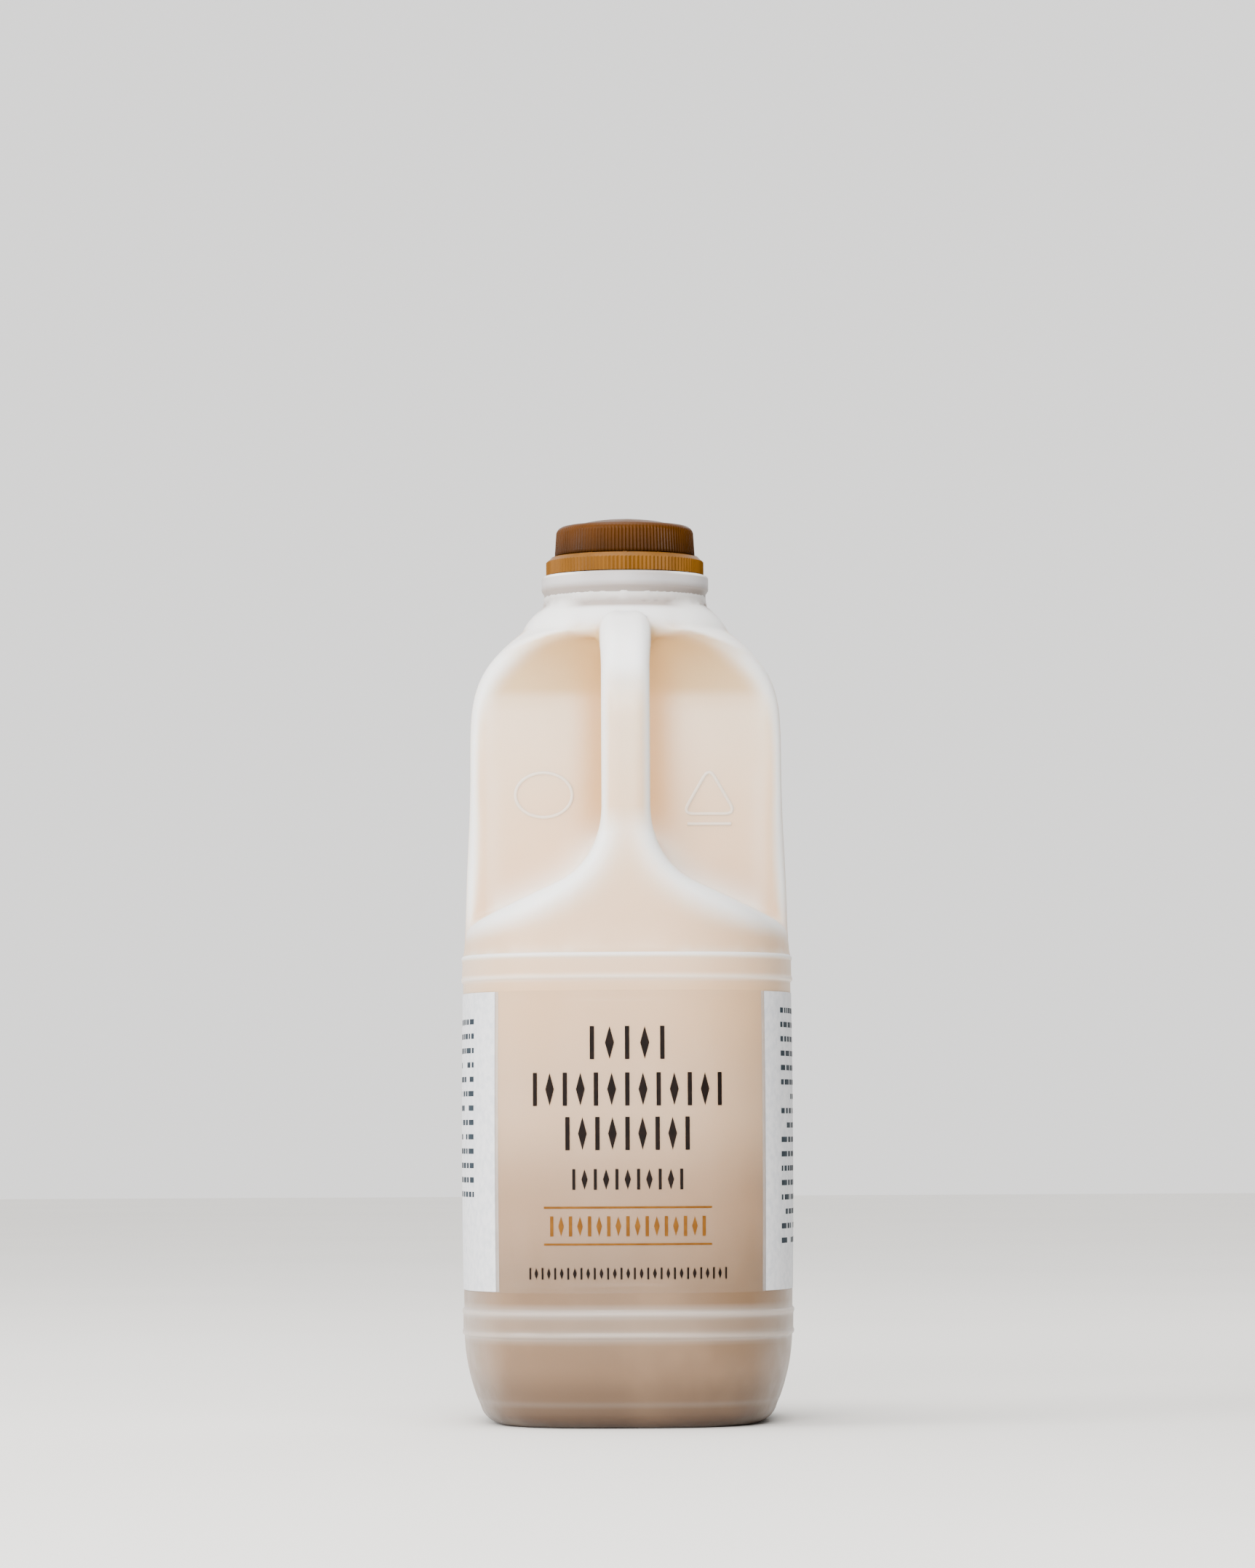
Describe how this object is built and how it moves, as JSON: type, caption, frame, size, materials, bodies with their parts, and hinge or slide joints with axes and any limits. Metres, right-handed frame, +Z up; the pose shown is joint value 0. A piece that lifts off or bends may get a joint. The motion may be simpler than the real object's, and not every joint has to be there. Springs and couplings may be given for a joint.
{
  "type": "two-litre plastic milk bottle",
  "caption": "Tall round-cornered translucent milk bottle with a moulded front handle, ribbed screw cap, tamper band and clear wrap label, filled with milk.",
  "frame": {"origin": "on the floor under the middle of the bottle", "axes": "+Z up through the neck, handle towards -Y, width along X"},
  "size_m": [0.0984, 0.1264, 0.2689],
  "materials": {
    "bottle_plastic": "translucent unpigmented blown plastic, satin",
    "milk": "opaque cream-white liquid",
    "cap_plastic": "copper-brown moulded plastic",
    "label_film": "thin clear printed film"
  },
  "bodies": {
    "root": {"bottle": "bottle_plastic", "milk": "milk", "cap": "cap_plastic", "tamper_band": "cap_plastic", "label_film": "label_film"}
  },
  "joints": []
}
